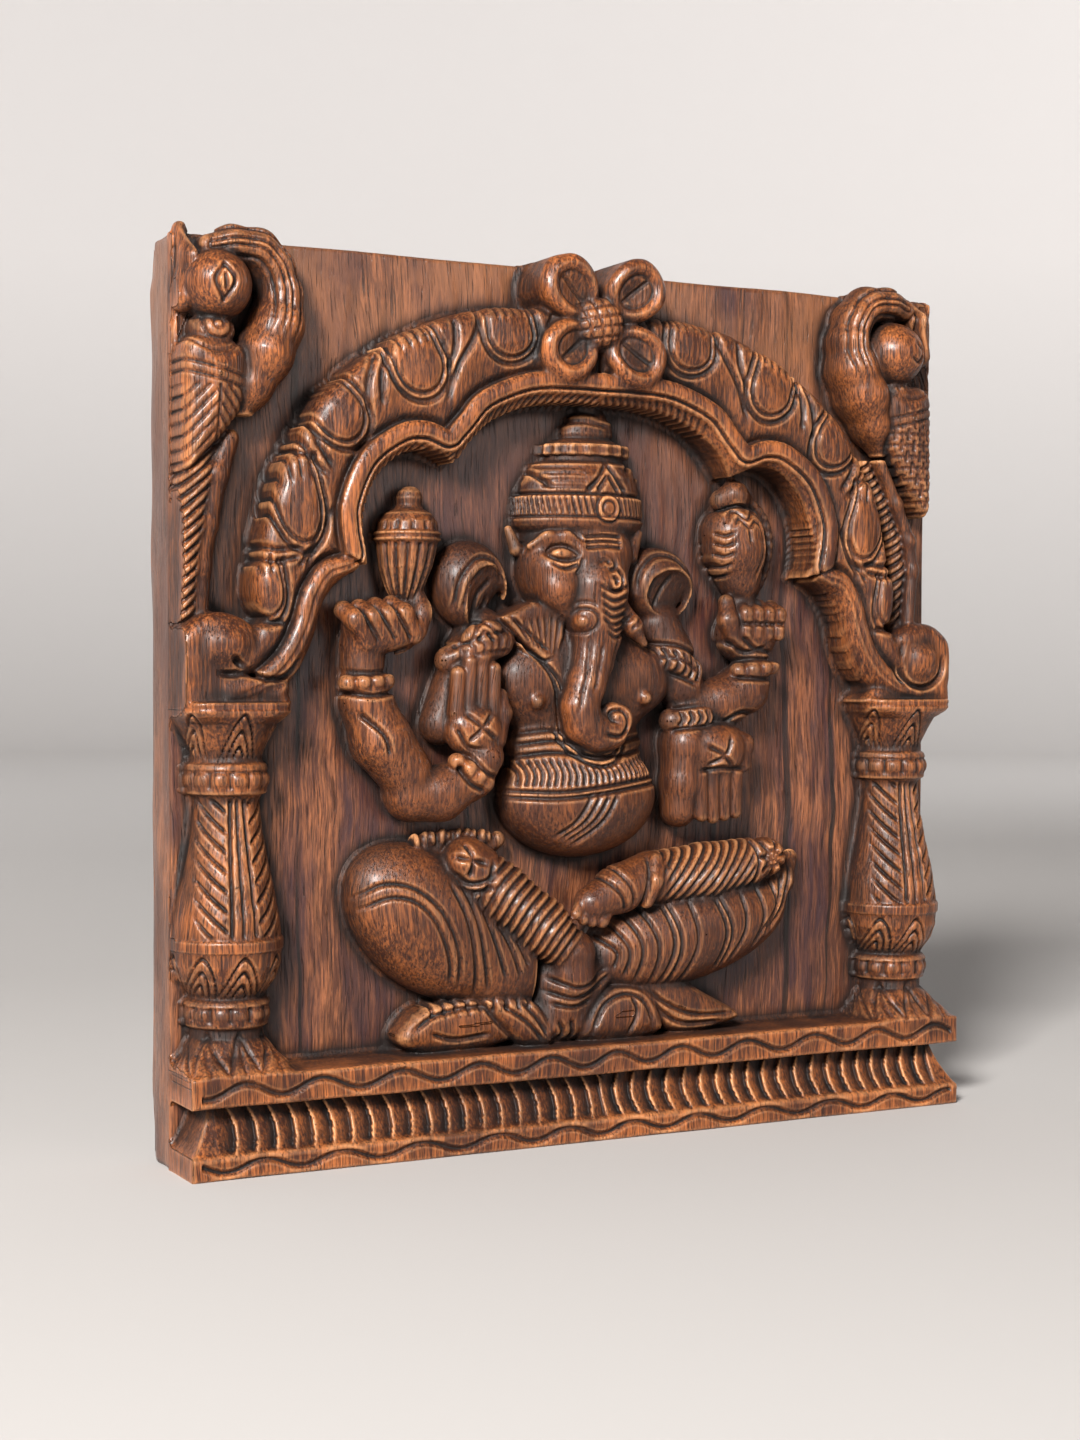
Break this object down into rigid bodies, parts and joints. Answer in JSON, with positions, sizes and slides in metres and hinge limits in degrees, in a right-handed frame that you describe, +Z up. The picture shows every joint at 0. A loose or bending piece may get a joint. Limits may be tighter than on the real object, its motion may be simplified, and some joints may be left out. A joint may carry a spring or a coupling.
{
  "type": "carved wooden wall panel",
  "caption": "Square wooden wall panel carved in deep relief: elephant-headed seated figure under a cusped arch on turned pillars, moulded plinth, keyhole hanger in the back.",
  "frame": {"origin": "on the surface the panel stands on, at the middle of its width and of its thickness", "axes": "+X to the viewer's right, +Y from the carved front towards the wall, +Z up"},
  "size_m": [0.305, 0.045, 0.3109],
  "materials": {
    "carved_wood": "satin, hand-rubbed, dark in the recesses",
    "hanger_steel": "zinc-plated, dull"
  },
  "bodies": {
    "root": {"back_board": "carved_wood", "keyhole_hanger": "hanger_steel", "hanger_screw_lower": "hanger_steel", "hanger_screw_upper": "hanger_steel", "plinth_lower_moulding": "carved_wood", "plinth_frieze": "carved_wood", "plinth_upper_moulding": "carved_wood", "pillar_foot_left": "carved_wood", "pillar_shaft_left": "carved_wood", "pillar_collar_left": "carved_wood", "pillar_capital_left": "carved_wood", "pillar_foot_right": "carved_wood", "pillar_shaft_right": "carved_wood", "pillar_collar_right": "carved_wood", "pillar_capital_right": "carved_wood", "rosette_centre": "carved_wood", "rosette_petal_top_left": "carved_wood", "rosette_petal_top_right": "carved_wood", "rosette_petal_bottom_right": "carved_wood", "rosette_petal_bottom_left": "carved_wood", "trunk": "carved_wood", "tusk": "carved_wood", "crown": "carved_wood", "head": "carved_wood", "ear_left": "carved_wood", "ear_right": "carved_wood", "belly": "carved_wood", "torso": "carved_wood", "open_hand_left": "carved_wood", "front_arm_left": "carved_wood", "rear_hand_left": "carved_wood", "lotus_bud": "carved_wood", "rear_arm_left": "carved_wood", "upper_arm_left": "carved_wood", "open_hand_right": "carved_wood", "front_arm_right": "carved_wood", "rear_hand_right": "carved_wood", "serpent_noose": "carved_wood", "rear_arm_right": "carved_wood", "upper_arm_right": "carved_wood", "shin_left": "carved_wood", "foot_left": "carved_wood", "foot_right": "carved_wood", "shin_right": "carved_wood", "thigh_left": "carved_wood", "thigh_right": "carved_wood", "seat_left": "carved_wood", "seat_right": "carved_wood", "arch_scroll_left": "carved_wood", "arch_rim_left": "carved_wood", "arch_band_left": "carved_wood", "arch_scroll_right": "carved_wood", "arch_rim_right": "carved_wood", "arch_band_right": "carved_wood", "bird_head_left": "carved_wood", "bird_wing_left": "carved_wood", "bird_tail_left": "carved_wood", "bird_head_right": "carved_wood", "bird_wing_right": "carved_wood", "bird_tail_right": "carved_wood"}
  },
  "joints": []
}
